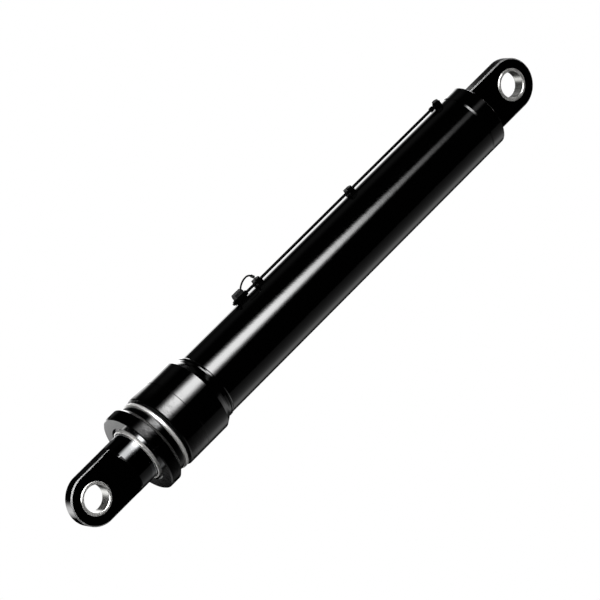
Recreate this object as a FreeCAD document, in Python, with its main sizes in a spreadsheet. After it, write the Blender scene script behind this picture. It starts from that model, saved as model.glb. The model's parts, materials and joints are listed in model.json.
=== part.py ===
import FreeCAD, Part
import math
import os
from types import SimpleNamespace
import Sketcher

# Hydraulic lift cylinder, fully retracted, in millimetres.
# Origin: centre of the cap-end pin bore.  +X: along the cylinder axis towards the rod end.
# +Y: along the cap-end pin.  +Z: up, through the thin bleed line on top of the barrel.

DRIVING = {
    "pin_to_pin": 1035,      # centre distance of the two pins, retracted
    "bore_dia": 100,
    "tube_dia": 120,
    "rod_dia": 90,
    "slide_gap": 0.3,        # radial clearance of parts that pass each other without touching
    "guide_fit": 0.05,       # radial running fit of guide rings and seals
    # pin eyes, the same at both ends
    "pin_dia": 45,
    "bushing_dia": 56,
    "bushing_long": 25,
    "tang_wide": 90,
    "tang_thick": 22.5,
    "tang_bevel": 2,
    "bushing_bevel": 1.2,
    # rod end
    "flats_end": 59,         # from the rod pin to the end of the milled flats
    "shoulder_end": 68,      # from the rod pin to where the round rod starts
    # cap end
    "cap_face": 82,          # from the cap pin to the cap's rear face
    "cap_long": 28,
    "cap_bevel": 1.5,
    "cap_spigot": 8,
    "weld_gap": 4,           # width of the ground weld between cap and tube
    "weld_hollow": 0.9,      # how far that weld lies below the tube's surface at its front toe
    "root_weld": 6,          # leg of the fillet weld round the eye plate
    # head of the barrel
    "head_dia": 140,
    "head_rear": 792.5,      # rear end of the full diameter
    "head_seam": 840,        # joint between sleeve and ring; the tube ends here too
    "head_front": 879,
    "head_slope": 8.5,       # length of the sleeve's sloped rear end
    "head_drop": 5,          # how far that slope comes down
    "head_weld": 16,         # length of the weld from the slope to the tube
    "head_bead": 6,          # length of that weld's last bead, on the tube
    "bead_high": 1.3,        # how far the bead stands above the tube
    "head_thread": 110,      # pitch diameter of the gland's thread, drawn plain
    "seam_bevel": 0.6,
    # gland
    "gland_rear": 820,
    "gland_front": 931,
    "flange_dia": 148,
    "flange_long": 28,
    "flange_back_bevel": 6,  # how far the flange's sloped back comes down
    "flange_back_long": 7,   # length of that slope
    "flange_front_bevel": 2,
    "neck_dia": 132,
    "lock_ring_dia": 136,
    "lock_ring_long": 5,
    "groove_long": 6.4,      # from head ring to lock ring
    "dust_ring": 4,          # section of the O-ring in that gap
    "neck_groove": 3.6,      # length of the groove in front of the lock ring
    "spanner_hole": 9,
    "spanner_deep": 9,
    "spanner_back": 7.2,     # from the flange's front face to the holes' axes
    "spanner_turn": 14,      # first spanner hole, in degrees from the +Y side
    "recess_dia": 108,
    "recess_deep": 4,
    "wiper_gap": 1.6,        # between the rod and the wiper's steel case
    "wiper_wall": 2,
    "wiper_deep": 12,
    "wiper_proud": 3,
    # piston and nut
    "nut_rear": 120,
    "nut_long": 26,
    "nut_flats": 80,
    "spigot_dia": 60,
    "nut_thread": 55,
    "piston_long": 52,
    # oil port
    "port_at": 137,
    "port_boss_dia": 36,
    "port_reach": 84,
    "port_thread": 18.63,    # minor diameter of a G 1/2 thread
    "port_deep": 20,
    "port_hole": 11,
    # bleed line
    "line_dia": 5,
    "line_height": 66,
    "banjo_at": 133.5,
    "banjo_dia": 15,
    "clamp_far": 358,
    "clamp_near": 587,
    "clamp_wide": 20,
    "clamp_long": 13,
    "clamp_bolt_side": 5,    # from the line's axis to the clamp bolt's
    "clamp_bolt_flats": 9,
    "block_start": 620,
    "block_end": 637.5,
    "block_wide": 16,
    "block_top": 78,
    "line_nut_flats": 8,
    "line_nut_long": 6,
    "bleed_screw_dia": 6,
    "bleed_hex": 8,
    "spout_dia": 3,
    "spout_top": 85.6,
    "spout_reach": 20,       # from the block to the spout's highest point
    "spout_rise_radius": 27.1,
    "spout_fall_radius": 11.1,
}


def as_size(number):
    """A plain number as a Size without a sheet formula of its own."""
    if isinstance(number, Size):
        return number
    return Size(float(number), str(float(number)))


class Size:
    """A length that carries both its value and the sheet formula that gives it."""

    def __init__(self, value, formula):
        self.value = value
        self.formula = formula

    def __add__(self, other):
        other = as_size(other)
        return Size(self.value + other.value, f"({self.formula} + {other.formula})")

    def __radd__(self, other):
        return as_size(other) + self

    def __sub__(self, other):
        other = as_size(other)
        return Size(self.value - other.value, f"({self.formula} - {other.formula})")

    def __rsub__(self, other):
        return as_size(other) - self

    def __mul__(self, other):
        other = as_size(other)
        return Size(self.value * other.value, f"({self.formula} * {other.formula})")

    def __rmul__(self, other):
        return as_size(other) * self

    def __truediv__(self, other):
        other = as_size(other)
        return Size(self.value / other.value, f"({self.formula} / {other.formula})")


doc = FreeCAD.newDocument("hydraulic_cylinder")
sheet = doc.addObject("Spreadsheet::Sheet", "dims")
for row, (alias, number) in enumerate(DRIVING.items(), start=1):
    sheet.set(f"A{row}", alias)
    sheet.set(f"B{row}", str(number))
    sheet.setAlias(f"B{row}", alias)
doc.recompute()
d = SimpleNamespace(**{alias: Size(float(number), f"dims.{alias}") for alias, number in DRIVING.items()})

NEAR = 0.01        # how close two places must be to count as the same
FINISHED = []      # (node name, object) of every piece that is written


# ---------------------------------------------------------------- building helpers

def finish_piece(name, piece):
    """Give a piece its node name and put it on the list of pieces."""
    piece.Label = name
    FINISHED.append((name, piece))
    return piece


def drive(target, path, size):
    """Bind one property to a sheet formula."""
    target.setExpression(path, as_size(size).formula)


def origin_part(body, role):
    for feature in body.Origin.OriginFeatures:
        if feature.Role == role:
            return feature
    raise ValueError(role)


def new_body(name):
    return doc.addObject("PartDesign::Body", name)


def new_sketch(body, plane, offset=0):
    """Sketch on one of the body's own planes, moved along its normal by offset."""
    sketch = body.newObject("Sketcher::SketchObject", f"{body.Name}_sketch")
    sketch.AttachmentSupport = [(origin_part(body, plane), "")]
    sketch.MapMode = "FlatFace"
    drive(sketch, "AttachmentOffset.Base.z", offset)
    return sketch


def pin_point(sketch, edge, end, across, up):
    """Hold one end of an edge at driven distances from the sketch origin."""
    for kind, size, axis in (("DistanceX", as_size(across), -2), ("DistanceY", as_size(up), -1)):
        if size.value == 0:
            sketch.addConstraint(Sketcher.Constraint("PointOnObject", edge, end, axis))
            continue
        index = sketch.addConstraint(Sketcher.Constraint(kind, -1, 1, edge, end, size.value))
        drive(sketch, f"Constraints[{index}]", size)


def draw_outline(sketch, corners):
    """Closed outline of straight sides through the driven corners."""
    first = sketch.GeometryCount
    points = [FreeCAD.Vector(as_size(across).value, as_size(up).value, 0) for across, up in corners]
    count = len(points)
    for index in range(count):
        sketch.addGeometry(Part.LineSegment(points[index], points[(index + 1) % count]), False)
    for index in range(count):
        following = first + (index + 1) % count
        sketch.addConstraint(Sketcher.Constraint("Coincident", first + index, 2, following, 1))
    for index, (across, up) in enumerate(corners):
        pin_point(sketch, first + index, 1, across, up)


def draw_circle(sketch, across, up, radius):
    radius = as_size(radius)
    centre = FreeCAD.Vector(as_size(across).value, as_size(up).value, 0)
    circle = sketch.addGeometry(Part.Circle(centre, FreeCAD.Vector(0, 0, 1), radius.value), False)
    pin_point(sketch, circle, 3, across, up)
    index = sketch.addConstraint(Sketcher.Constraint("Radius", circle, radius.value))
    drive(sketch, f"Constraints[{index}]", radius)


def add_revolution(body, corners):
    """Turn a half section (x, radius) round the cylinder axis."""
    sketch = new_sketch(body, "XZ_Plane")
    draw_outline(sketch, corners)
    turned = body.newObject("PartDesign::Revolution", f"{body.Name}_turned")
    turned.Profile = sketch
    turned.ReferenceAxis = (sketch, ["H_Axis"])
    turned.Angle = 360
    body.Tip = turned
    return turned


def add_pad(body, sketch, length, both_ways=True, backwards=False):
    pad = body.newObject("PartDesign::Pad", f"{body.Name}_pad")
    pad.Profile = sketch
    drive(pad, "Length", length)
    if both_ways:
        pad.SideType = "Symmetric"
    pad.Reversed = backwards
    body.Tip = pad
    return pad


def add_pocket(body, sketch, depth=None, both_ways=True):
    """Pocket of a given depth, or right through when no depth is given."""
    pocket = body.newObject("PartDesign::Pocket", f"{body.Name}_pocket")
    pocket.Profile = sketch
    if depth is None:
        pocket.Type = "ThroughAll"
    else:
        drive(pocket, "Length", depth)
    if both_ways:
        pocket.SideType = "Symmetric"
    body.Tip = pocket
    return pocket


def add_chamfer(body, feature, size, wanted):
    """Chamfer those edges of a feature that pass the test."""
    doc.recompute()
    names = [f"Edge{index}" for index, edge in enumerate(feature.Shape.Edges, start=1) if wanted(edge)]
    chamfer = body.newObject("PartDesign::Chamfer", f"{body.Name}_chamfer")
    chamfer.Base = (feature, names)
    drive(chamfer, "Size", size)
    body.Tip = chamfer
    return chamfer


def turned(name, corners):
    """A piece that is a plain turned part."""
    body = new_body(name)
    add_revolution(body, corners)
    return finish_piece(name, body)


def ring_corners(start, end, inner, outer):
    return [(start, inner), (end, inner), (end, outer), (start, outer)]


def cylinder(name, radius, height, at, axis):
    """Part cylinder that starts at a point and runs along an axis, with driven sizes."""
    solid = doc.addObject("Part::Cylinder", name)
    drive(solid, "Radius", radius)
    drive(solid, "Height", height)
    place(solid, at, axis)
    return solid


def place(solid, at, axis):
    """Put a primitive at a driven point with its own Z axis turned along axis."""
    rotation = FreeCAD.Rotation(FreeCAD.Vector(0, 0, 1), FreeCAD.Vector(*axis))
    solid.Placement = FreeCAD.Placement(FreeCAD.Vector(), rotation)
    for letter, size in zip("xyz", at):
        drive(solid, f"Placement.Base.{letter}", size)


def hexagon(name, flats, height, at, axis):
    """Hexagonal prism by its width across flats."""
    solid = doc.addObject("Part::Prism", name)
    solid.Polygon = 6
    drive(solid, "Circumradius", flats / math.sqrt(3))
    drive(solid, "Height", height)
    place(solid, at, axis)
    return solid


def box(name, low, high):
    """Box between two driven corners."""
    solid = doc.addObject("Part::Box", name)
    for side, start, end in zip(("Length", "Width", "Height"), low, high):
        drive(solid, side, as_size(end) - start)
    for letter, start in zip("xyz", low):
        drive(solid, f"Placement.Base.{letter}", start)
    return solid


def cut(name, base, tool):
    result = doc.addObject("Part::Cut", name)
    result.Base = base
    result.Tool = tool
    return result


def common(name, base, tool):
    result = doc.addObject("Part::Common", name)
    result.Base = base
    result.Tool = tool
    return result


def fuse(name, shapes):
    result = doc.addObject("Part::MultiFuse", name)
    result.Shapes = shapes
    return result


def group(name, shapes):
    """Several separate solids of one kind, kept as one piece."""
    result = doc.addObject("Part::Compound", name)
    result.Links = shapes
    return finish_piece(name, result)


# ---------------------------------------------------------------- shared positions

rod_pin = d.pin_to_pin
bore = d.bore_dia / 2
tube = d.tube_dia / 2
rod = d.rod_dia / 2
half_tang = d.tang_wide / 2
half_thick = d.tang_thick / 2
cap_front = d.cap_face + d.cap_long
tube_start = cap_front + d.weld_gap
weld_root = bore + 4
piston_rear = d.nut_rear + d.nut_long
piston_front = piston_rear + d.piston_long
flange_rear = d.gland_front - d.flange_long
lock_rear = d.head_front + d.groove_long
lock_front = lock_rear + d.lock_ring_long


# ---------------------------------------------------------------- pin eyes

def draw_eye_outline(sketch, pin_at, root_at, side):
    """Side view of a tang: straight sides from the root and a full round at the pin."""
    pin_at = as_size(pin_at)
    root_at = as_size(root_at)
    high = half_tang.value
    centre = FreeCAD.Vector(pin_at.value, 0, 0)
    corners = [FreeCAD.Vector(x, z, 0) for x, z in (
        (root_at.value, high), (pin_at.value, high), (pin_at.value, -high), (root_at.value, -high))]
    first_angle = -math.pi / 2 if side > 0 else math.pi / 2
    round_end = Part.ArcOfCircle(Part.Circle(centre, FreeCAD.Vector(0, 0, 1), high),
                                 first_angle, first_angle + math.pi)
    sketch.addGeometry(Part.LineSegment(corners[0], corners[1]), False)
    sketch.addGeometry(round_end, False)
    sketch.addGeometry(Part.LineSegment(corners[2], corners[3]), False)
    sketch.addGeometry(Part.LineSegment(corners[3], corners[0]), False)
    top_end, bottom_end = (2, 1) if side > 0 else (1, 2)
    sketch.addConstraint(Sketcher.Constraint("Tangent", 0, 2, 1, top_end))
    sketch.addConstraint(Sketcher.Constraint("Tangent", 1, bottom_end, 2, 1))
    sketch.addConstraint(Sketcher.Constraint("Coincident", 2, 2, 3, 1))
    sketch.addConstraint(Sketcher.Constraint("Coincident", 3, 2, 0, 1))
    sketch.addConstraint(Sketcher.Constraint("Horizontal", 0))
    sketch.addConstraint(Sketcher.Constraint("Horizontal", 2))
    sketch.addConstraint(Sketcher.Constraint("Vertical", 3))
    pin_point(sketch, 1, 3, pin_at, 0)
    radius = sketch.addConstraint(Sketcher.Constraint("Radius", 1, high))
    drive(sketch, f"Constraints[{radius}]", half_tang)
    root = sketch.addConstraint(Sketcher.Constraint("DistanceX", -1, 1, 3, 1, root_at.value))
    drive(sketch, f"Constraints[{root}]", root_at)


def start_eye(name, pin_at, root_at, side):
    """Plate of the tang with bevelled long edges and the hole for its bushing."""
    body = new_body(name)
    outline = new_sketch(body, "XZ_Plane")
    draw_eye_outline(outline, pin_at, root_at, side)
    plate = add_pad(body, outline, d.tang_thick)
    past_root = as_size(root_at).value + side * NEAR
    add_chamfer(body, plate, d.tang_bevel, lambda edge: lies_on_flats(edge) and (
        side * (edge.CenterOfMass.x - past_root) > 0))
    hole = new_sketch(body, "XZ_Plane")
    draw_circle(hole, pin_at, 0, d.bushing_dia / 2)
    add_pocket(body, hole)
    return body


def lies_on_flats(edge):
    return all(abs(vertex.Point.y) > half_thick.value - NEAR for vertex in edge.Vertexes)


def bushing(name, pin_at):
    """Pressed-in steel bushing with bevelled rims, standing slightly proud on both sides."""
    half_long = d.bushing_long / 2
    rear = (pin_at, 0 - half_long, 0)
    outer = cylinder(f"{name}_outer", d.bushing_dia / 2, d.bushing_long, rear, (0, 1, 0))
    inner = cylinder(f"{name}_inner", d.pin_dia / 2, d.bushing_long, rear, (0, 1, 0))
    sleeve = cut(f"{name}_sleeve", outer, inner)
    doc.recompute()
    rims = []
    for index, edge in enumerate(sleeve.Shape.Edges, start=1):
        if len(edge.Vertexes) == 1:
            rims.append((index, d.bushing_bevel.value, d.bushing_bevel.value))
    bevelled = doc.addObject("Part::Chamfer", f"{name}_bevelled")
    bevelled.Base = sleeve
    bevelled.Edges = rims
    return finish_piece(name, bevelled)


def build_cap_eye():
    eye = start_eye("cap_eye", 0, d.cap_face, -1)
    return finish_piece("cap_eye", eye)


def build_cap_eye_weld():
    """Fillet weld round the root of the cap eye: a sloped frame with the plate cut out."""
    leg = d.root_weld
    body = new_body("cap_eye_weld")
    base = new_sketch(body, "YZ_Plane", d.cap_face - leg)
    thick = half_thick + leg
    wide = half_tang + leg
    draw_outline(base, [(0 - thick, 0 - wide), (thick, 0 - wide), (thick, wide), (0 - thick, wide)])
    frame = add_pad(body, base, leg, both_ways=False)
    low_x = (d.cap_face - leg).value + NEAR
    toe_height = 0.2
    add_chamfer(body, frame, leg - toe_height, lambda edge: all(v.Point.x < low_x for v in edge.Vertexes))
    hole = new_sketch(body, "YZ_Plane", d.cap_face)
    draw_outline(hole, [(0 - half_thick, 0 - half_tang), (half_thick, 0 - half_tang),
                        (half_thick, half_tang), (0 - half_thick, half_tang)])
    add_pocket(body, hole, leg, both_ways=False)
    return finish_piece("cap_eye_weld", body)


def build_rod_eye():
    """Rod eye: round where it meets the rod, milled to a flat tang behind a sloped shoulder."""
    flats = rod_pin - d.flats_end
    stub_end = rod_pin - d.shoulder_end
    slope_top = stub_end + 1
    overlap = 8
    eye = start_eye("rod_eye_plate", rod_pin, slope_top + 1, 1)
    stub = new_body("rod_eye_stub")
    add_revolution(stub, [(stub_end, 0), (flats + overlap, 0), (flats + overlap, rod), (stub_end, rod)])
    slope = new_sketch(stub, "XY_Plane")
    clear = rod + 5
    past = flats + 12
    draw_outline(slope, [(slope_top, clear), (slope_top, rod), (flats, half_thick), (past, half_thick),
                         (past, clear)])
    draw_outline(slope, [(slope_top, 0 - clear), (past, 0 - clear), (past, 0 - half_thick),
                         (flats, 0 - half_thick), (slope_top, 0 - rod)])
    add_pocket(stub, slope)
    whole = fuse("rod_eye_whole", [eye, stub])
    whole_length = d.shoulder_end + half_tang + 1
    weld_bulge = 0.6
    turned_bar = cylinder("rod_eye_limit", rod + weld_bulge, whole_length, (stub_end, 0, 0), (1, 0, 0))
    return finish_piece("rod_eye", common("rod_eye_part", whole, turned_bar))


# ---------------------------------------------------------------- barrel weldment

def build_tube():
    """Honed tube with the oil port hole at the cap end and the hole under the banjo."""
    body = new_body("barrel_tube")
    add_revolution(body, [
        (tube_start, bore), (d.head_seam, bore), (d.head_seam, tube), (tube_start + d.seam_bevel, tube),
        (tube_start, tube - d.seam_bevel)])
    port = new_sketch(body, "XZ_Plane", bore - 5)
    draw_circle(port, d.port_at, 0, d.port_hole / 2)
    outwards = add_pocket(body, port, d.tube_dia, both_ways=False)
    outwards.Reversed = True
    bleed = new_sketch(body, "XY_Plane", bore - 5)
    bleed_hole_radius = 2
    draw_circle(bleed, d.banjo_at, 0, bleed_hole_radius)
    upwards = add_pocket(body, bleed, d.tube_dia, both_ways=False)
    upwards.Reversed = True
    return finish_piece("barrel_tube", body)


def build_end_cap():
    """End cap: same outside diameter as the tube, with a spigot that centres it in the bore."""
    spigot = bore - 0.1
    return turned("end_cap", [
        (d.cap_face, 0), (cap_front + d.cap_spigot, 0), (cap_front + d.cap_spigot, spigot),
        (tube_start, spigot), (tube_start, bore), (cap_front, weld_root),
        (cap_front, tube), (d.cap_face + d.cap_bevel, tube),
        (d.cap_face, tube - d.cap_bevel)])


def build_cap_weld():
    """Ground weld between cap and tube, level with the cap and falling to a narrow groove at the tube."""
    hollow = tube - d.weld_hollow
    return turned("cap_weld", [
        (cap_front, weld_root), (tube_start, bore), (tube_start, hollow),
        (tube_start - d.seam_bevel, hollow), (cap_front, tube)])


def build_head():
    """Head of the barrel: a sleeve over the tube, its rear weld, and the threaded ring in front."""
    head = d.head_dia / 2
    slope_foot = d.head_rear - d.head_slope
    low = head - d.head_drop
    turned("head_sleeve", [
        (slope_foot, tube), (d.head_seam, tube), (d.head_seam, head - d.seam_bevel),
        (d.head_seam - d.seam_bevel, head), (d.head_rear, head), (slope_foot, low)])
    toe = slope_foot - d.head_weld
    bead = toe + d.head_bead
    crown = tube + d.bead_high
    fillet_top = low - 1
    fillet_bend = low - 2.8
    turned("head_weld", [
        (toe, tube), (slope_foot, tube), (slope_foot, fillet_top), (slope_foot - 4, fillet_bend),
        (bead + 0.5, crown - 0.4), (bead - 1.5, crown), (toe + 2, crown - 0.2)])
    thread = d.head_thread / 2
    bevel = 1.5
    turned("head_ring", [
        (d.head_seam, thread), (d.head_front - bevel, thread), (d.head_front, thread + bevel),
        (d.head_front, head - bevel), (d.head_front - bevel, head), (d.head_seam + d.seam_bevel, head),
        (d.head_seam, head - d.seam_bevel)])


def build_port():
    """Weld-on boss with the threaded oil port, on the -Y side of the tube."""
    mouth = 0 - d.port_reach
    into_tube = 5
    deep = d.port_reach - tube + into_tube
    weld_leg = 9
    weld_high = 14
    below = 4
    block = cylinder("port_block", d.port_boss_dia / 2, deep, (d.port_at, mouth, 0), (0, 1, 0))
    inside = cylinder("port_tube_space", tube, d.port_boss_dia + 4,
                      (d.port_at - d.port_boss_dia / 2 - 2, 0, 0), (1, 0, 0))
    saddle = cut("port_saddle", block, inside)
    thread = cylinder("port_thread_hole", d.port_thread / 2, d.port_deep, (d.port_at, mouth, 0), (0, 1, 0))
    drilled = cylinder("port_drill_hole", d.port_hole / 2, deep, (d.port_at, mouth, 0), (0, 1, 0))
    finish_piece("port_boss", cut("port_body", saddle, fuse("port_holes", [thread, drilled])))
    weld_cone = doc.addObject("Part::Cone", "port_weld_cone")
    drive(weld_cone, "Radius1", d.port_boss_dia / 2)
    drive(weld_cone, "Radius2", d.port_boss_dia / 2 + weld_leg)
    drive(weld_cone, "Height", weld_high)
    place(weld_cone, (d.port_at, 0 - tube - below, 0), (0, 1, 0))
    around = cylinder("port_weld_boss_space", d.port_boss_dia / 2, deep, (d.port_at, mouth, 0), (0, 1, 0))
    bare_tube = cylinder("port_weld_tube_space", tube, 80, (d.port_at - 40, 0, 0), (1, 0, 0))
    finish_piece("port_weld", cut("port_weld_ring", weld_cone, fuse("port_weld_tools", [around, bare_tube])))


# ---------------------------------------------------------------- gland and its rings

RINGS_IN_GLAND = {
    # node: (start of each groove from the gland's rear, groove width, groove radius beyond the rod)
    "rod_guide_rings": ((22, 72), 15, 2.5),
    "buffer_seal": ((42,), 7, 6),
    "rod_seal": ((56,), 11, 8),
}
RINGS_ROUND_GLAND = {
    # node: (start from the gland's rear, width, depth below the bore); both share one groove
    "gland_oring": (6, 4, 2.2),
    "gland_backup_ring": (10, 1.6, 2.2),
}
LOCK_RING_WALL = 6
LOCK_RING_FIT = 0.02
THREAD_FIT = 0.05


def build_gland():
    """Gland: guides and seals the rod, screws into the head ring and carries a wide flange."""
    outer = bore - THREAD_FIT
    thread = d.head_thread / 2 - THREAD_FIT
    neck = d.neck_dia / 2
    groove_floor = d.lock_ring_dia / 2 - LOCK_RING_WALL + 1
    seat = d.lock_ring_dia / 2 - LOCK_RING_WALL - LOCK_RING_FIT
    shoulder = d.head_front + d.dust_ring
    neck_rear = lock_front + d.neck_groove
    flange = d.flange_dia / 2
    clear = rod + d.slide_gap
    recess = d.recess_dia / 2
    lip = rod + d.wiper_gap + d.wiper_wall
    wiper_rear = d.gland_front - d.wiper_deep
    corners = [
        (d.gland_rear, clear + 1), (d.gland_rear, outer - 1), (d.gland_rear + 1, outer),
        (d.head_seam + 1, outer), (d.head_seam + 3, thread), (shoulder, thread), (shoulder, seat),
        (lock_front, seat), (lock_front, groove_floor), (neck_rear, groove_floor), (neck_rear, neck),
        (flange_rear, neck), (flange_rear, flange - d.flange_back_bevel),
        (flange_rear + d.flange_back_long, flange),
        (d.gland_front - d.flange_front_bevel, flange), (d.gland_front, flange - d.flange_front_bevel),
        (d.gland_front, recess), (d.gland_front - d.recess_deep, recess),
        (d.gland_front - d.recess_deep, lip), (wiper_rear, lip), (wiper_rear, clear),
        (d.gland_rear + 1, clear)]
    body = new_body("gland")
    add_revolution(body, corners)
    for starts, wide, deep in RINGS_IN_GLAND.values():
        for start in starts:
            inside = d.gland_rear + start
            add_groove(body, ring_corners(inside, inside + wide, rod, rod + deep))
    oring_start, oring_wide, oring_deep = RINGS_ROUND_GLAND["gland_oring"]
    backup_wide = RINGS_ROUND_GLAND["gland_backup_ring"][1]
    outside = d.gland_rear + oring_start
    add_groove(body, ring_corners(outside, outside + (oring_wide + backup_wide), bore - oring_deep, bore + 1))
    holes = new_sketch(body, "XZ_Plane", flange)
    draw_circle(holes, d.gland_front - d.spanner_back, 0, d.spanner_hole / 2)
    first = add_pocket(body, holes, d.spanner_deep, both_ways=False)
    pattern = body.newObject("PartDesign::PolarPattern", "gland_spanner_holes")
    pattern.Originals = [first]
    pattern.Axis = (origin_part(body, "X_Axis"), [""])
    pattern.Angle = 360
    pattern.Occurrences = 4
    body.Tip = pattern
    body.Placement = FreeCAD.Placement(FreeCAD.Vector(), FreeCAD.Rotation(FreeCAD.Vector(1, 0, 0), 1))
    drive(body, "Placement.Rotation.Angle", d.spanner_turn)
    return finish_piece("gland", body)


def add_groove(body, corners):
    sketch = new_sketch(body, "XZ_Plane")
    draw_outline(sketch, corners)
    groove = body.newObject("PartDesign::Groove", f"{body.Name}_groove")
    groove.Profile = sketch
    groove.ReferenceAxis = (sketch, ["H_Axis"])
    groove.Angle = 360
    body.Tip = groove
    return groove


def ring_body(name, corners):
    """A ring that is only one of a group, so it isn't written by itself."""
    body = new_body(name)
    add_revolution(body, corners)
    return body


def build_gland_rings():
    """Seals and guide rings inside the gland, and the rings round its outside."""
    side = 0.1
    for name, (starts, wide, deep) in RINGS_IN_GLAND.items():
        rings = []
        for number, start in enumerate(starts, start=1):
            low = d.gland_rear + start + side
            high = d.gland_rear + start + wide - side
            fit = d.guide_fit if name == "rod_guide_rings" else d.slide_gap
            rings.append(ring_body(f"{name}_{number}", ring_corners(low, high, rod + fit, rod + deep)))
        if len(rings) > 1:
            group(name, rings)
        else:
            finish_piece(name, rings[0])
    for name, (start, wide, deep) in RINGS_ROUND_GLAND.items():
        low = d.gland_rear + start
        turned(name, ring_corners(low, low + wide, bore - deep, bore))
    bevel = 0.6
    case_inner = rod + d.wiper_gap
    case_outer = case_inner + d.wiper_wall
    case_rear = d.gland_front - d.wiper_deep + side
    case_front = d.gland_front + d.wiper_proud
    turned("wiper_case", [
        (case_rear, case_inner), (case_front, case_inner), (case_front, case_outer - bevel),
        (case_front - bevel, case_outer), (case_rear, case_outer)])
    lip_edge = rod + d.slide_gap
    turned("wiper_lip", [
        (case_rear, lip_edge + d.slide_gap), (case_front - 5, lip_edge), (case_front - 1, lip_edge),
        (case_front - 2, case_inner), (case_rear, case_inner)])
    outer = d.lock_ring_dia / 2
    turned("lock_ring", [
        (lock_rear, outer - LOCK_RING_WALL), (lock_front, outer - LOCK_RING_WALL),
        (lock_front, outer - bevel), (lock_front - bevel, outer), (lock_rear + bevel, outer),
        (lock_rear, outer - bevel)])
    dust = doc.addObject("Part::Torus", "dust_ring_body")
    section = d.dust_ring / 2
    drive(dust, "Radius1", d.head_thread / 2 + section)
    drive(dust, "Radius2", section)
    place(dust, (d.head_front + section, 0, 0), (1, 0, 0))
    finish_piece("dust_oring", dust)


# ---------------------------------------------------------------- rod, piston and their rings

SEAL_GROOVE = (20, 12, 7)            # from the piston's rear, width, depth
GUIDE_GROOVES = ((4, 40), 8, 3)      # the same for both guide rings
PISTON_FIT = 0.02


def build_rod():
    """Chromed rod with the turned-down end that carries the piston and its nut."""
    spigot = d.spigot_dia / 2
    thread = d.nut_thread / 2
    weld = rod_pin - d.shoulder_end
    return turned("rod", [
        (d.nut_rear - 1, 0), (weld, 0), (weld, rod), (piston_front + 2, rod), (piston_front, rod - 2),
        (piston_front, spigot), (piston_rear, spigot), (piston_rear, thread), (d.nut_rear + 1, thread),
        (d.nut_rear - 1, thread - 2)])


def build_piston():
    """Piston with grooves for one seal and two guide rings, and an inner O-ring groove."""
    outer = bore - d.slide_gap
    inner = d.spigot_dia / 2 + PISTON_FIT
    body = new_body("piston")
    add_revolution(body, [
        (piston_rear, inner), (piston_front, inner), (piston_front, outer - 1), (piston_front - 1, outer),
        (piston_rear + 1, outer), (piston_rear, outer - 1)])
    start, wide, deep = SEAL_GROOVE
    add_groove(body, ring_corners(piston_rear + start, piston_rear + (start + wide), outer - deep, outer + 1))
    starts, wide, deep = GUIDE_GROOVES
    for start in starts:
        low = piston_rear + start
        add_groove(body, ring_corners(low, low + wide, outer - deep, outer + 1))
    middle = piston_rear + d.piston_long / 2
    add_groove(body, ring_corners(middle - 2, middle + 2, inner - 1, inner + 3))
    finish_piece("piston", body)
    turned("piston_oring", ring_corners(middle - 1.8, middle + 1.8, inner, inner + 2.9))


def build_piston_rings():
    """Seal and guide rings round the piston; the piston can turn inside them."""
    play = d.slide_gap
    outer = bore - d.guide_fit
    start, wide, deep = SEAL_GROOVE
    floor = bore - d.slide_gap - deep + play
    low = piston_rear + start + play
    turned("piston_seal", ring_corners(low, low + (wide - 2 * play), floor, outer))
    starts, wide, deep = GUIDE_GROOVES
    floor = bore - d.slide_gap - deep + play
    rings = []
    for number, start in enumerate(starts, start=1):
        low = piston_rear + start + play
        corners = ring_corners(low, low + (wide - 2 * play), floor, outer)
        rings.append(ring_body(f"piston_guide_{number}", corners))
    group("piston_guide_rings", rings)


def build_piston_nut():
    """Hexagon nut behind the piston, locked by a radial set screw."""
    hexagonal = hexagon("nut_hex", d.nut_flats, d.nut_long, (d.nut_rear, 0, 0), (1, 0, 0))
    hole_radius = d.nut_thread / 2 + PISTON_FIT
    thread = cylinder("nut_thread_hole", hole_radius, d.nut_long, (d.nut_rear, 0, 0), (1, 0, 0))
    middle = d.nut_rear + d.nut_long / 2
    screw_radius = 3
    screw_long = 9
    hole = cylinder("nut_screw_hole", screw_radius, d.nut_flats, (middle, 0, 0), (0, 0, 1))
    finish_piece("piston_nut", cut("nut_body", hexagonal, fuse("nut_holes", [thread, hole])))
    screw_foot = (middle, 0, d.nut_thread / 2 + THREAD_FIT)
    screw = cylinder("nut_screw", screw_radius - THREAD_FIT, screw_long, screw_foot, (0, 0, 1))
    finish_piece("nut_set_screw", screw)


# ---------------------------------------------------------------- bleed line on top of the barrel

def saddle_pad(name, low, high):
    """Block that stands on the tube, its underside cut to the tube's round."""
    block = box(f"{name}_block", low, high)
    inside = cylinder(f"{name}_tube_space", tube, high[0] - low[0] + 4, (low[0] - 2, 0, 0), (1, 0, 0))
    return cut(f"{name}_saddle", block, inside)


def domed_hexagon(name, flats, height, at):
    """Upright hexagon head with its upper corners turned away."""
    prism = hexagon(f"{name}_prism", flats, height, at, (0, 0, 1))
    dome = doc.addObject("Part::Cone", f"{name}_dome")
    drive(dome, "Radius1", flats / 2 + height)
    drive(dome, "Radius2", flats / 2 - 0.3)
    drive(dome, "Height", height)
    place(dome, at, (0, 0, 1))
    return common(name, prism, dome)


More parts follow.
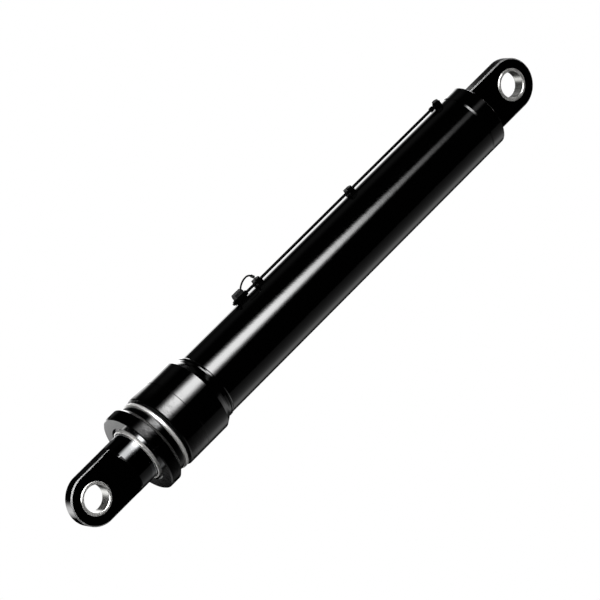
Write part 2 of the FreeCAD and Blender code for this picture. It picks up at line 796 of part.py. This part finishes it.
def build_line_clamps():
    """Two welded pads, and on each a clamp that holds the line with one bolt beside it."""
    pads = []
    clamps = []
    bolts = []
    half_wide = d.clamp_wide / 2
    pad_top = tube + 2
    clamp_top = d.line_height + 4.2
    side = d.clamp_bolt_side
    shank_radius = 2
    head_high = 3.6
    for number, middle in enumerate((d.clamp_far, d.clamp_near), start=1):
        low = middle - d.clamp_long / 2
        high = middle + d.clamp_long / 2
        pads.append(saddle_pad(f"pad_{number}", (low, 0 - half_wide, tube - 4), (high, half_wide, pad_top)))
        strap_low = (low + 1, 1 - half_wide, pad_top)
        strap = box(f"strap_{number}", strap_low, (high - 1, half_wide - 1, clamp_top))
        through = (low, 0, d.line_height)
        line_hole = cylinder(f"strap_hole_{number}", d.line_dia / 2, d.clamp_long, through, (1, 0, 0))
        foot = (middle, side, pad_top)
        tall = clamp_top - pad_top
        bolt_hole = cylinder(f"strap_bolt_hole_{number}", shank_radius + 0.1, tall, foot, (0, 0, 1))
        clamps.append(cut(f"clamp_{number}", strap, fuse(f"strap_tools_{number}", [line_hole, bolt_hole])))
        shank = cylinder(f"bolt_shank_{number}", shank_radius, tall, foot, (0, 0, 1))
        top = (middle, side, clamp_top)
        head = domed_hexagon(f"bolt_head_{number}", d.clamp_bolt_flats, head_high, top)
        bolts.append(fuse(f"bolt_{number}", [shank, head]))
    group("clamp_pads", pads)
    group("line_clamps", clamps)
    group("clamp_bolts", bolts)


def build_banjo():
    """Cap-end fitting: a weld boss, a banjo between two copper washers, and its bolt."""
    at = d.banjo_at
    boss_top = tube + 1.5
    washer = 0.8
    ring_low = boss_top + washer
    ring_high = ring_low + 6.6
    bolt = as_size(3)
    head_flats = as_size(11)
    head_high = 3.2
    boss = cylinder("banjo_boss_round", d.banjo_dia / 2, boss_top - tube + 5, (at, 0, tube - 5), (0, 0, 1))
    inside = cylinder("banjo_boss_space", tube, d.banjo_dia + 4, (at - d.banjo_dia / 2 - 2, 0, 0), (1, 0, 0))
    drilled = cylinder("banjo_boss_hole", bolt, boss_top - tube + 8, (at, 0, tube - 8), (0, 0, 1))
    finish_piece("banjo_boss", cut("banjo_boss_part", boss, fuse("banjo_boss_tools", [inside, drilled])))
    washers = []
    for number, start in enumerate((boss_top, ring_high), start=1):
        outer = cylinder(f"washer_outer_{number}", d.banjo_dia / 2 - 1, washer, (at, 0, start), (0, 0, 1))
        inner = cylinder(f"washer_inner_{number}", bolt, washer, (at, 0, start), (0, 0, 1))
        washers.append(cut(f"washer_{number}", outer, inner))
    group("banjo_washers", washers)
    ring = cylinder("banjo_ring", d.banjo_dia / 2, ring_high - ring_low, (at, 0, ring_low), (0, 0, 1))
    socket = (at + d.banjo_dia / 2 - 1, 0, d.line_height)
    arm_radius = 3.1
    arm = cylinder("banjo_arm", arm_radius, 4, socket, (1, 0, 0))
    bolt_hole = cylinder("banjo_bolt_hole", bolt, 20, (at, 0, tube), (0, 0, 1))
    line_hole = cylinder("banjo_line_hole", d.line_dia / 2, 20, socket, (1, 0, 0))
    finish_piece("banjo", cut("banjo_part", fuse("banjo_solid", [ring, arm]),
                              fuse("banjo_tools", [bolt_hole, line_hole])))
    head_low = ring_high + washer
    shank = cylinder("banjo_bolt_shank", bolt, head_low - tube, (at, 0, tube), (0, 0, 1))
    head = domed_hexagon("banjo_bolt_head", head_flats, head_high, (at, 0, head_low))
    finish_piece("banjo_bolt", fuse("banjo_bolt_part", [shank, head]))


def build_line():
    """Thin steel line from the banjo to the bleed block, with a nut at each end."""
    start = d.banjo_at + d.banjo_dia / 2 - 1
    end = d.block_start + LINE_IN_BLOCK
    line = cylinder("bleed_line_solid", d.line_dia / 2, end - start, (start, 0, d.line_height), (1, 0, 0))
    finish_piece("bleed_line", line)
    nuts = []
    spots = (d.banjo_at + d.banjo_dia / 2 + 3, d.block_start - d.line_nut_long)
    for number, spot in enumerate(spots, start=1):
        foot = (spot, 0, d.line_height)
        solid = hexagon(f"line_nut_hex_{number}", d.line_nut_flats, d.line_nut_long, foot, (1, 0, 0))
        hole = cylinder(f"line_nut_hole_{number}", d.line_dia / 2, d.line_nut_long, foot, (1, 0, 0))
        nuts.append(cut(f"line_nut_{number}", solid, hole))
    group("line_nuts", nuts)


LINE_IN_BLOCK = 5.0
SPOUT_LEAN = math.radians(46.9)      # how far the rising arc turns
SPOUT_DROP = math.radians(60.9)      # how far the falling arc turns
SPOUT_BURIED = 5.0                   # straight length inside the block


def build_bleed_block():
    """Bleed block on its welded pad, with the bleed screw at the rod end."""
    half_wide = d.block_wide / 2
    pad_top = tube + 1.5
    pad_low = (d.block_start + 1, 1 - half_wide, tube - 3)
    pad_high = (d.block_end - 1, half_wide - 1, pad_top)
    finish_piece("block_pad", saddle_pad("block_pad", pad_low, pad_high))
    bevelled = new_body("bleed_block_body")
    section = new_sketch(bevelled, "YZ_Plane", d.block_start)
    top = d.block_top
    draw_outline(section, [
        (0 - half_wide, pad_top), (half_wide, pad_top), (half_wide, top - 5), (half_wide - 3, top),
        (3 - half_wide, top), (0 - half_wide, top - 5)])
    add_pad(bevelled, section, d.block_end - d.block_start, both_ways=False)
    entry = (d.block_start, 0, d.line_height)
    line_hole = cylinder("block_line_hole", d.line_dia / 2, LINE_IN_BLOCK, entry, (1, 0, 0))
    screw_deep = 8
    screw_hole = cylinder("block_screw_hole", d.bleed_screw_dia / 2 + d.guide_fit, screw_deep,
                          (d.block_end - screw_deep, 0, d.line_height), (1, 0, 0))
    spout = spout_path()
    spout_hole = doc.addObject("Part::Feature", "block_spout_hole")
    spout_hole.Shape = Part.makeCylinder(d.spout_dia.value / 2, SPOUT_BURIED + 5, spout.foot, spout.outwards)
    tools = fuse("block_tools", [line_hole, screw_hole, spout_hole])
    finish_piece("bleed_block", cut("bleed_block_part", bevelled, tools))
    bottom = (d.block_end - screw_deep + 0.5, 0, d.line_height)
    shank = cylinder("bleed_screw_shank", d.bleed_screw_dia / 2, screw_deep, bottom, (1, 0, 0))
    outside = (d.block_end + 0.4, 0, d.line_height)
    hex_long = 5
    nipple_long = 8
    nipple_radius = 2.2
    head = hexagon("bleed_screw_head", d.bleed_hex, hex_long, outside, (1, 0, 0))
    nipple = cylinder("bleed_screw_nipple", nipple_radius, nipple_long, outside, (1, 0, 0))
    finish_piece("bleed_screw", fuse("bleed_screw_part", [shank, head, nipple]))


def spout_path():
    """Corner points and directions of the spout's centre line, which lies over the cylinder axis."""
    rise = d.spout_rise_radius.value
    fall = d.spout_fall_radius.value
    top = FreeCAD.Vector((d.block_start - d.spout_reach).value, 0, d.spout_top.value)

    def on_rise(angle):
        return top + FreeCAD.Vector(rise * math.sin(angle), 0, -rise * (1 - math.cos(angle)))

    def on_fall(angle):
        return top + FreeCAD.Vector(-fall * math.sin(angle), 0, -fall * (1 - math.cos(angle)))

    outwards = FreeCAD.Vector(-math.cos(SPOUT_LEAN), 0, math.sin(SPOUT_LEAN))
    arc_start = on_rise(SPOUT_LEAN)
    foot = arc_start - outwards * SPOUT_BURIED
    tip = on_fall(SPOUT_DROP)
    heading = FreeCAD.Vector(-math.cos(SPOUT_DROP), 0, -math.sin(SPOUT_DROP))
    wire = Part.Wire([Part.makeLine(foot, arc_start),
                      Part.Arc(arc_start, on_rise(SPOUT_LEAN / 2), top).toShape(),
                      Part.Arc(top, on_fall(SPOUT_DROP / 2), tip).toShape()])
    return SimpleNamespace(foot=foot, outwards=outwards, tip=tip, heading=heading, wire=wire)


def build_spout():
    """Stiff bent spout out of the block's corner, over in two arcs and down to its rubber cap."""
    path = spout_path()
    radius = d.spout_dia.value / 2
    section = Part.Wire([Part.makeCircle(radius, path.foot, path.outwards)])
    spout = doc.addObject("Part::Feature", "bleed_spout_tube")
    spout.Shape = path.wire.makePipeShell([section], True, False)
    finish_piece("bleed_spout", spout)
    covered = 1.0
    cap_radius = 2.6
    cap_long = 6
    rear = path.tip - path.heading * covered
    rubber = Part.makeCylinder(cap_radius, cap_long, rear, path.heading)
    spout_cap = doc.addObject("Part::Feature", "spout_cap_rubber")
    spout_cap.Shape = rubber.cut(Part.makeCylinder(radius, covered, rear, path.heading))
    finish_piece("spout_cap", spout_cap)


# ---------------------------------------------------------------- build, check and write

def check_document():
    """Stop if any object failed or any piece is empty, open or broken."""
    doc.recompute()
    for item in doc.Objects:
        if "Invalid" in item.State or "Error" in item.State:
            raise RuntimeError(f"{item.Label} ({item.Name}) is {item.State}")
    for name, piece in FINISHED:
        shape = piece.Shape
        if shape.isNull() or not shape.isValid() or not shape.Solids:
            raise RuntimeError(f"{name} has no valid solid")


def write_pieces():
    os.makedirs("parts", exist_ok=True)
    for name, piece in FINISHED:
        piece.Shape.exportStep(f"parts/{name}.step")
        print(f"{name}: {len(piece.Shape.Solids)} solid(s), {piece.Shape.Volume:.0f} mm3")


build_cap_eye()
build_cap_eye_weld()
bushing("cap_bushing", as_size(0))
build_end_cap()
build_cap_weld()
build_tube()
build_head()
build_port()
build_gland()
build_gland_rings()
build_rod()
build_rod_eye()
bushing("rod_bushing", rod_pin)
build_piston()
build_piston_rings()
build_piston_nut()
build_line_clamps()
build_banjo()
build_line()
build_bleed_block()
build_spout()
check_document()
write_pieces()
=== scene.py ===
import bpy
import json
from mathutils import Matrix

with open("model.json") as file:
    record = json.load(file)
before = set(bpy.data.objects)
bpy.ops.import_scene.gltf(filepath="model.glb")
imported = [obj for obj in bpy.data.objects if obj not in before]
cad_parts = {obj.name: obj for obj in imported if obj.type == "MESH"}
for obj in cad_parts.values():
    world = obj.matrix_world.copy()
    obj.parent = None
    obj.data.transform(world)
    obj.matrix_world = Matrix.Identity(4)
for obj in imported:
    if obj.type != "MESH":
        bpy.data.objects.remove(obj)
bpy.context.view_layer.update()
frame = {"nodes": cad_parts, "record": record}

import json
import math
import bpy
from mathutils import Matrix, Vector

nodes = frame["nodes"]
scene = bpy.context.scene
scene.view_settings.view_transform = "Standard"

# ---------------------------------------------------------------- camera

CAMERA_AT = Vector((2.7211, 4.8205, 2.0288))  # above and beyond the rod end
LOOK_AT = Vector((0.5453, 0.0, -0.0099))
CAMERA_ROLL = math.radians(-35.72)            # puts the cylinder on the picture's diagonal
LENS_MM = 208.81                              # on a 36 mm wide sensor
FAR_CLIP = 100                                # metres, beyond the white globe


def make_camera():
    """Camera that looks at LOOK_AT, rolled round its own line of sight."""
    data = bpy.data.cameras.new("camera")
    data.lens = LENS_MM
    data.clip_end = FAR_CLIP
    camera = bpy.data.objects.new("camera", data)
    scene.collection.objects.link(camera)
    back = (CAMERA_AT - LOOK_AT).normalized()
    level_right = Vector((0, 0, 1)).cross(back).normalized()
    level_up = back.cross(level_right)
    right = level_right * math.cos(CAMERA_ROLL) + level_up * math.sin(CAMERA_ROLL)
    up = back.cross(right)
    camera.matrix_world = Matrix((
        (right.x, up.x, back.x, CAMERA_AT.x),
        (right.y, up.y, back.y, CAMERA_AT.y),
        (right.z, up.z, back.z, CAMERA_AT.z),
        (0, 0, 0, 1)))
    scene.camera = camera


# ---------------------------------------------------------------- node helpers

NOISE_LOW, NOISE_HIGH = 0.3, 0.7   # a noise texture seldom leaves this range
# A Mix node has a set of sockets for each kind of value; these are its share and its colours.
MIX_SHARE, MIX_FIRST, MIX_SECOND, MIX_RESULT = 0, 6, 7, 2


def grey(value):
    return value, value, value, 1


def new_material(name, kind="ShaderNodeBsdfPrincipled"):
    """Material with one shader wired to its output; returns it, its node tree and the shader."""
    material = bpy.data.materials.new(name)
    material.use_nodes = True
    tree = material.node_tree
    tree.nodes.clear()
    output = tree.nodes.new("ShaderNodeOutputMaterial")
    shader = tree.nodes.new(kind)
    tree.links.new(shader.outputs[0], output.inputs["Surface"])
    return material, tree, shader


def noise(tree, scale, detail=2.0, stretch=(1, 1, 1)):
    """Noise in object space, so in metres; returns its factor output."""
    coordinates = tree.nodes.new("ShaderNodeTexCoord")
    mapping = tree.nodes.new("ShaderNodeMapping")
    mapping.inputs["Scale"].default_value = stretch
    texture = tree.nodes.new("ShaderNodeTexNoise")
    texture.inputs["Scale"].default_value = scale
    texture.inputs["Detail"].default_value = detail
    tree.links.new(coordinates.outputs["Object"], mapping.inputs["Vector"])
    tree.links.new(mapping.outputs["Vector"], texture.inputs["Vector"])
    return texture.outputs["Fac"]


def bump(tree, height, depth, under=None):
    """Normal of a height field of the given depth in metres, laid over another normal if there is one."""
    node = tree.nodes.new("ShaderNodeBump")
    node.inputs["Distance"].default_value = depth
    node.inputs["Strength"].default_value = 1.0
    tree.links.new(height, node.inputs["Height"])
    if under is not None:
        tree.links.new(under, node.inputs["Normal"])
    return node.outputs["Normal"]


def ramp(tree, factor, low, high, low_value, high_value):
    """Straight line from low_value at low to high_value at high, held level outside them."""
    node = tree.nodes.new("ShaderNodeMapRange")
    node.inputs["From Min"].default_value = low
    node.inputs["From Max"].default_value = high
    node.inputs["To Min"].default_value = low_value
    node.inputs["To Max"].default_value = high_value
    tree.links.new(factor, node.inputs["Value"])
    return node.outputs["Result"]


def calculate(tree, operation, first, second=None):
    """Result of one sum; each operand is a number or another node's output."""
    node = tree.nodes.new("ShaderNodeMath")
    node.operation = operation
    for socket, value in zip(node.inputs, (first, second)):
        if isinstance(value, bpy.types.NodeSocket):
            tree.links.new(value, socket)
        elif value is not None:
            socket.default_value = value
    return node.outputs["Value"]


def blend_colours(tree, share, first, second):
    """Colour that goes from the first to the second while the share rises from 0 to 1."""
    mix = tree.nodes.new("ShaderNodeMix")
    mix.data_type = "RGBA"
    mix.inputs[MIX_FIRST].default_value = first
    mix.inputs[MIX_SECOND].default_value = second
    tree.links.new(share, mix.inputs[MIX_SHARE])
    return mix.outputs[MIX_RESULT]


def turned_to(tree, axis, low, high):
    """Share from 0 to 1 of how far the surface faces along one of the frame's axes.

    The axis doesn't turn with the piece, so a mask made with this changes when the rod spins.
    """
    surface = tree.nodes.new("ShaderNodeNewGeometry")
    split = tree.nodes.new("ShaderNodeSeparateXYZ")
    tree.links.new(surface.outputs["True Normal"], split.inputs["Vector"])
    return ramp(tree, calculate(tree, "ABSOLUTE", split.outputs[axis]), low, high, 0, 1)


def roughen(tree, shader, grain, smoothest, roughest):
    """Roughness that follows a noise between two values."""
    roughness = ramp(tree, grain, NOISE_LOW, NOISE_HIGH, smoothest, roughest)
    tree.links.new(roughness, shader.inputs["Roughness"])


# ---------------------------------------------------------------- materials

ENAMEL_BLACK = grey(0.0001)
ENAMEL_IOR = 1.5
# Grey of the eyes' bevels: partly worn paint, partly a painted highlight.
WORN_AND_HIGHLIGHT_GREY = grey(0.17)
BEVEL_FACING = math.cos(math.radians(45))   # how far the eyes' bevels face along the pin
BEVEL_SURE, BEVEL_EDGE = 0.01, 0.02         # how far off that a surface still counts as bevel


def black_paint():
    """Gloss black enamel with a little orange peel, duller on faces square to the cylinder axis."""
    material, tree, shader = new_material("black_paint")
    shader.inputs["Base Color"].default_value = ENAMEL_BLACK
    shader.inputs["IOR"].default_value = ENAMEL_IOR
    waves = noise(tree, 90, 1.0)
    gloss = ramp(tree, waves, NOISE_LOW, NOISE_HIGH, 0.045, 0.075)
    dull = calculate(tree, "MULTIPLY", turned_to(tree, "X", 0.25, 0.6), 0.09)
    tree.links.new(calculate(tree, "ADD", gloss, dull), shader.inputs["Roughness"])
    normal = bump(tree, noise(tree, 420, 1.0), 0.00003)
    normal = bump(tree, waves, 0.00005, under=normal)
    tree.links.new(normal, shader.inputs["Normal"])
    return material


def dull_black_paint():
    """Brushed-over fittings: no clear reflections."""
    material, tree, shader = new_material("dull_black_paint")
    shader.inputs["Base Color"].default_value = grey(0.0002)
    shader.inputs["Specular IOR Level"].default_value = 0.03
    roughen(tree, shader, noise(tree, 200), 0.3, 0.45)
    return material


def worn_paint_and_bevel_highlight():
    """The same enamel on the flame-cut eyes, grey along the bevelled edges: partly paint rubbed thin,
    partly a painted highlight on the bevels.
    """
    material, tree, shader = new_material("worn_paint_and_bevel_highlight")
    shader.inputs["IOR"].default_value = ENAMEL_IOR
    sideways = turned_to(tree, "Y", 0, 1)
    off_bevel = calculate(tree, "ABSOLUTE", calculate(tree, "SUBTRACT", sideways, BEVEL_FACING))
    bevel = ramp(tree, off_bevel, BEVEL_SURE, BEVEL_EDGE, 1, 0)
    patches = ramp(tree, noise(tree, 60, 3.0), 0.35, 0.6, 0.5, 1)
    # The grey laid on the bevels is partly worn paint and partly a painted highlight.
    worn_and_highlight = calculate(tree, "MULTIPLY", bevel, patches)
    tree.links.new(blend_colours(tree, worn_and_highlight, ENAMEL_BLACK, WORN_AND_HIGHLIGHT_GREY), shader.inputs["Base Color"])
    tree.links.new(ramp(tree, bevel, 0, 1, 0.08, 0.4), shader.inputs["Roughness"])
    tree.links.new(bump(tree, noise(tree, 300), 0.00003), shader.inputs["Normal"])
    return material


def chrome():
    """Hard chrome with faint grinding marks round the rod."""
    material, tree, shader = new_material("chrome_rod")
    shader.inputs["Base Color"].default_value = (0.6, 0.61, 0.62, 1)
    shader.inputs["Metallic"].default_value = 1
    roughen(tree, shader, noise(tree, 900, stretch=(1, 0.05, 0.05)), 0.02, 0.04)
    return material


def bushing_steel():
    """Turned steel: satin end faces, and a bore darkened with painted shade."""
    material, tree, shader = new_material("bushing_steel")
    face = turned_to(tree, "Y", 0.3, 0.6)
    # The bore's darker grey is painted shade inside the hole.
    colour = blend_colours(tree, face, (0.22, 0.22, 0.21, 1), (0.5, 0.495, 0.48, 1))
    tree.links.new(colour, shader.inputs["Base Color"])
    tree.links.new(ramp(tree, face, 0, 1, 0.9, 0.8), shader.inputs["Metallic"])
    grain = noise(tree, 900, 3.0, stretch=(1, 0.1, 1))
    roughen(tree, shader, grain, 0.24, 0.34)
    tree.links.new(bump(tree, grain, 0.00001), shader.inputs["Normal"])
    return material


def bright_steel():
    """Zinc-plated or turned steel, satin grey with bright streaks where the key light strikes it."""
    material, tree, shader = new_material("bright_steel")
    shader.inputs["Base Color"].default_value = (0.6, 0.595, 0.58, 1)
    shader.inputs["Metallic"].default_value = 0.7
    grain = noise(tree, 700, 3.0)
    roughen(tree, shader, grain, 0.3, 0.4)
    tree.links.new(bump(tree, grain, 0.00001), shader.inputs["Normal"])
    return material


def black_rubber():
    """Dull rubber of the dust ring, the wiper lip and the small cap."""
    material, tree, shader = new_material("black_rubber")
    shader.inputs["Base Color"].default_value = grey(0.012)
    grain = noise(tree, 1200)
    roughen(tree, shader, grain, 0.45, 0.65)
    tree.links.new(bump(tree, grain, 0.00002), shader.inputs["Normal"])
    return material


def seal_plastic():
    """Dark green seals and guide rings inside the gland and on the piston."""
    material, tree, shader = new_material("seal_plastic")
    shader.inputs["Base Color"].default_value = (0.05, 0.11, 0.08, 1)
    roughen(tree, shader, noise(tree, 500), 0.35, 0.5)
    return material


MATERIALS = {
    "black_paint": black_paint(),
    "chrome_rod": chrome(),
    "bright_steel": bright_steel(),
    "black_rubber": black_rubber(),
    "seal_plastic": seal_plastic(),
    "worn_paint_and_bevel_highlight": worn_paint_and_bevel_highlight(),
    "bushing_steel": bushing_steel(),
    "dull_black_paint": dull_black_paint(),
}
# Pieces whose look differs from that of their slot in the record.
FINISHES = {
    # The eyes: worn paint with a painted highlight on their bevels.
    "worn_paint_and_bevel_highlight": ("cap_eye", "rod_eye"),
    "bushing_steel": ("cap_bushing", "rod_bushing"),
    "dull_black_paint": ("bleed_line", "line_nuts", "line_clamps", "clamp_bolts", "clamp_pads", "banjo",
                         "banjo_bolt", "banjo_washers", "banjo_boss", "bleed_block", "block_pad",
                         "bleed_screw", "bleed_spout"),
}


def dress_cad_nodes():
    """Gives every CAD node the material of its slot, or its own finish."""
    for part in frame["record"]["subparts"]:
        mesh = nodes[part["node"]].data
        mesh.materials.clear()
        mesh.materials.append(MATERIALS[part["material_slot"]])
    for finish, wearers in FINISHES.items():
        for name in wearers:
            nodes[name].data.materials[0] = MATERIALS[finish]


# ---------------------------------------------------------------- studio

# Curved panels round the cylinder: radius and x in metres, arcs in degrees from +Y up towards +Z.
PANEL_RADIUS = 2.0
PANEL_X = (-4, 4)
KEY_ARC, KEY_STEPS = (15, 82), 24
REAR_ARC, REAR_STEPS = (80, 205), 42
UNDER_ARC, UNDER_STEPS = (205, 345), 48
END_RADIUS = 1.95                           # just inside the rear panel
END_X = (0.5, 4)
END_ARC, END_STEPS = (168, 205), 24
KEY_STRENGTH = 20
SOFT_STRENGTH = 4                           # rear, under and rod-end panels
GLOBE_RADIUS = 27
FULL_TURN = 360

# Tables along x in metres or round the axis in degrees. KEY_MIDDLE and KEY_HALF give the key light's
# middle and half width in degrees, KEY_ACROSS goes by half widths off its middle, and the values of all
# but the first two are shares of the light's strength.
KEY_MIDDLE = [(-4, 42.5), (-0.65, 42.5), (-0.4, 45), (0.1, 49.5), (0.22, 49.2), (0.27, 59), (4, 55)]
KEY_HALF = [(-4, 6.5), (-0.65, 6.5), (0.1, 14), (4, 14)]
KEY_ACROSS = [(0, 1), (0.5, 0.96), (0.9, 0.6), (1.2, 0.24), (1.5, 0.05), (1.9, 0)]
KEY_ALONG = [(-4, 0.08), (-1.7, 0.08), (-1.3, 0.02), (-0.9, 0.022), (-0.79, 0.04), (-0.59, 0.165),
             (-0.36, 0.68), (-0.16, 0.95), (0.165, 0.95), (0.2, 0.45), (0.235, 0.2), (0.27, 0.05),
             (0.5, 0.05), (0.8, 0.6), (4, 0.6)]
REAR_AROUND = [(80, 0), (103, 0), (117, 0.014), (126, 0.014), (139, 0.005), (150, 0.02), (158, 0.4),
               (166, 0.9), (190, 0.9), (198, 0.5), (201, 0.2), (205, 0)]
REAR_ALONG = [(-4, 0.7), (-1.7, 0.7), (-1.4, 0.03), (-0.96, 0.03), (-0.91, 1), (0.12, 1), (0.18, 0.2),
              (0.22, 0.02), (0.5, 0.01), (4, 0)]
END_AROUND = [(168, 0), (182, 0.9), (192, 0.9), (200, 0.35), (202, 0.2), (204.5, 0), (205, 0)]
END_ALONG = [(0.5, 0), (0.9, 1), (4, 1)]
UNDER_AROUND = [(205, 0), (236, 0.01), (243, 0.09), (253, 0.155), (262, 0.15), (270, 0.095), (280, 0.062),
                (290, 0.04), (300, 0.028), (311, 0.018), (313, 0), (345, 0)]
UNDER_ALONG = [(-4, 1), (0.12, 1), (0.19, 0.4), (0.25, 0.1), (0.5, 0.1), (0.9, 1), (4, 1)]


def position(tree):
    """x of the lit point, and its angle round the cylinder axis in degrees from +Y up to +Z."""
    point = tree.nodes.new("ShaderNodeNewGeometry")
    split = tree.nodes.new("ShaderNodeSeparateXYZ")
    tree.links.new(point.outputs["Position"], split.inputs["Vector"])
    turn = calculate(tree, "ARCTAN2", split.outputs["Z"], split.outputs["Y"])
    return split.outputs["X"], calculate(tree, "DEGREES", turn)


def table(tree, factor, stops):
    """Straight-line table: stops are (input, value from 0 up), inputs rising."""
    low, high = stops[0][0], stops[-1][0]
    top = max(value for at, value in stops)
    node = tree.nodes.new("ShaderNodeValToRGB")
    elements = node.color_ramp.elements
    while len(elements) < len(stops):
        elements.new(0.5)
    for element, (at, value) in zip(elements, stops):
        element.position = (at - low) / (high - low)
        element.color = grey(value / top)
    tree.links.new(ramp(tree, factor, low, high, 0, 1), node.inputs["Fac"])
    return calculate(tree, "MULTIPLY", node.outputs["Color"], top)


def glow(name):
    """Light-giving material with its node tree and its emission node."""
    return new_material(name, "ShaderNodeEmission")


def set_strength(tree, light, first_share, second_share, strength):
    """Strength of a light as the product of two shares and its greatest strength."""
    share = calculate(tree, "MULTIPLY", first_share, second_share)
    tree.links.new(calculate(tree, "MULTIPLY", share, strength), light.inputs["Strength"])


def key_glow():
    """Softbox in front and above; its mirror image is brightest beside the collar and thin at the cap."""
    material, tree, light = glow("key_glow")
    x, angle = position(tree)
    middle = table(tree, x, KEY_MIDDLE)
    half = table(tree, x, KEY_HALF)
    away = calculate(tree, "ABSOLUTE", calculate(tree, "SUBTRACT", angle, middle))
    across = table(tree, calculate(tree, "DIVIDE", away, half), KEY_ACROSS)
    set_strength(tree, light, across, table(tree, x, KEY_ALONG), KEY_STRENGTH)
    return material


def strip_glow(name, around_stops, along_stops):
    """Light whose strength follows one table round the cylinder and another along it."""
    material, tree, light = glow(name)
    x, angle = position(tree)
    from_zero = calculate(tree, "MODULO", calculate(tree, "ADD", angle, FULL_TURN), FULL_TURN)
    around = table(tree, from_zero, around_stops)
    set_strength(tree, light, around, table(tree, x, along_stops), SOFT_STRENGTH)
    return material


def plain_glow(name, strength):
    material, tree, light = glow(name)
    light.inputs["Strength"].default_value = strength
    return material


def stage_mesh(name, verts, faces, material, seen_by_camera):
    """Mesh of the studio: a light that only the object mirrors, or a backdrop that only the camera sees."""
    mesh = bpy.data.meshes.new(name)
    mesh.from_pydata(verts, [], faces)
    mesh.materials.append(material)
    piece = bpy.data.objects.new(name, mesh)
    scene.collection.objects.link(piece)
    piece.visible_camera = seen_by_camera
    piece.visible_glossy = not seen_by_camera
    piece.visible_shadow = False


def arc_panel(name, radius, arc, x_span, steps, material):
    """Curved light round the cylinder axis; the arc's angles go from +Y up towards +Z."""
    start, end = arc
    verts, faces = [], []
    for step in range(steps + 1):
        angle = math.radians(start + (end - start) * step / steps)
        y, z = radius * math.cos(angle), radius * math.sin(angle)
        verts += [(x, y, z) for x in x_span]
        if step:
            base = 2 * step
            faces.append((base - 2, base - 1, base + 1, base))
    stage_mesh(name, verts, faces, material, False)


def backdrop(radius, material, turns=32, rises=16):
    """White globe round everything, so that views from every side stay pale."""
    verts = [(0, 0, -radius)]
    for rise in range(1, rises):
        tilt = math.pi * (rise / rises - 0.5)
        for turn in range(turns):
            heading = 2 * math.pi * turn / turns
            verts.append((radius * math.cos(heading) * math.cos(tilt),
                          radius * math.sin(heading) * math.cos(tilt), radius * math.sin(tilt)))
    verts.append((0, 0, radius))
    top = len(verts) - 1
    last_row = top - turns
    faces = []
    for turn in range(turns):
        beside = (turn + 1) % turns
        faces.append((0, 1 + beside, 1 + turn))
        faces.append((top, last_row + turn, last_row + beside))
        for row in range(1, last_row, turns):
            faces.append((row + turn, row + beside, row + turns + beside, row + turns + turn))
    stage_mesh("backdrop", verts, faces, material, True)


def make_studio():
    """White globe for the camera, a black world, and the panels that the object mirrors."""
    backdrop(GLOBE_RADIUS, plain_glow("studio_white", 1.0))
    world = bpy.data.worlds.new("studio_world")
    scene.world = world
    world.use_nodes = True
    world.node_tree.nodes["Background"].inputs["Color"].default_value = grey(0)
    rear_glow = strip_glow("rear_glow", REAR_AROUND, REAR_ALONG)
    under_glow = strip_glow("under_glow", UNDER_AROUND, UNDER_ALONG)
    end_glow = strip_glow("rod_end_glow", END_AROUND, END_ALONG)
    arc_panel("key_light", PANEL_RADIUS, KEY_ARC, PANEL_X, KEY_STEPS, key_glow())
    arc_panel("rear_light", PANEL_RADIUS, REAR_ARC, PANEL_X, REAR_STEPS, rear_glow)
    arc_panel("rod_end_light", END_RADIUS, END_ARC, END_X, END_STEPS, end_glow)
    arc_panel("under_light", PANEL_RADIUS, UNDER_ARC, PANEL_X, UNDER_STEPS, under_glow)


make_camera()
dress_cad_nodes()
make_studio()
